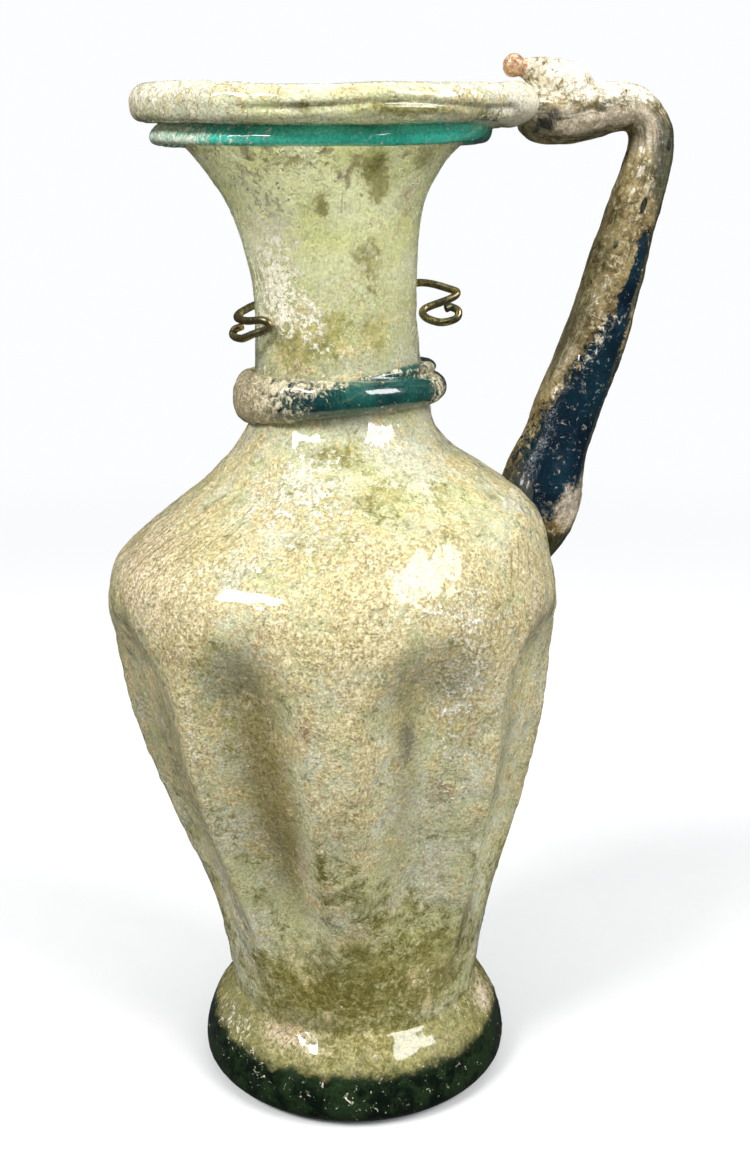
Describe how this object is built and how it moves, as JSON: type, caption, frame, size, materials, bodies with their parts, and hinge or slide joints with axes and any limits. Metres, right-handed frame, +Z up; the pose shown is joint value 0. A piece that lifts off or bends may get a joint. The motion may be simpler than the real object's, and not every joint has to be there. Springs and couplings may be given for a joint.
{
  "type": "glass jug",
  "caption": "Small blown glass jug with pressed vertical flutes, a rolled rim, a tall applied handle with a thumb rest, two wound glass trails and a bronze wire on the neck.",
  "frame": {"origin": "middle of the foot's flat underside, on the surface the jug stands on", "axes": "+Z up along the jug, +X towards the handle"},
  "size_m": [0.0825, 0.066, 0.1519],
  "materials": {
    "pale_glass": "weathered, frosted",
    "turquoise_glass": "glossy",
    "dark_teal_glass": "glossy, partly crusted",
    "handle_glass": "crusted, glossy where bare",
    "bronze": "tarnished"
  },
  "bodies": {
    "root": {"vessel": "pale_glass", "rim_trail": "turquoise_glass", "neck_trail": "dark_teal_glass", "handle": "handle_glass", "neck_wire": "bronze"}
  },
  "joints": []
}
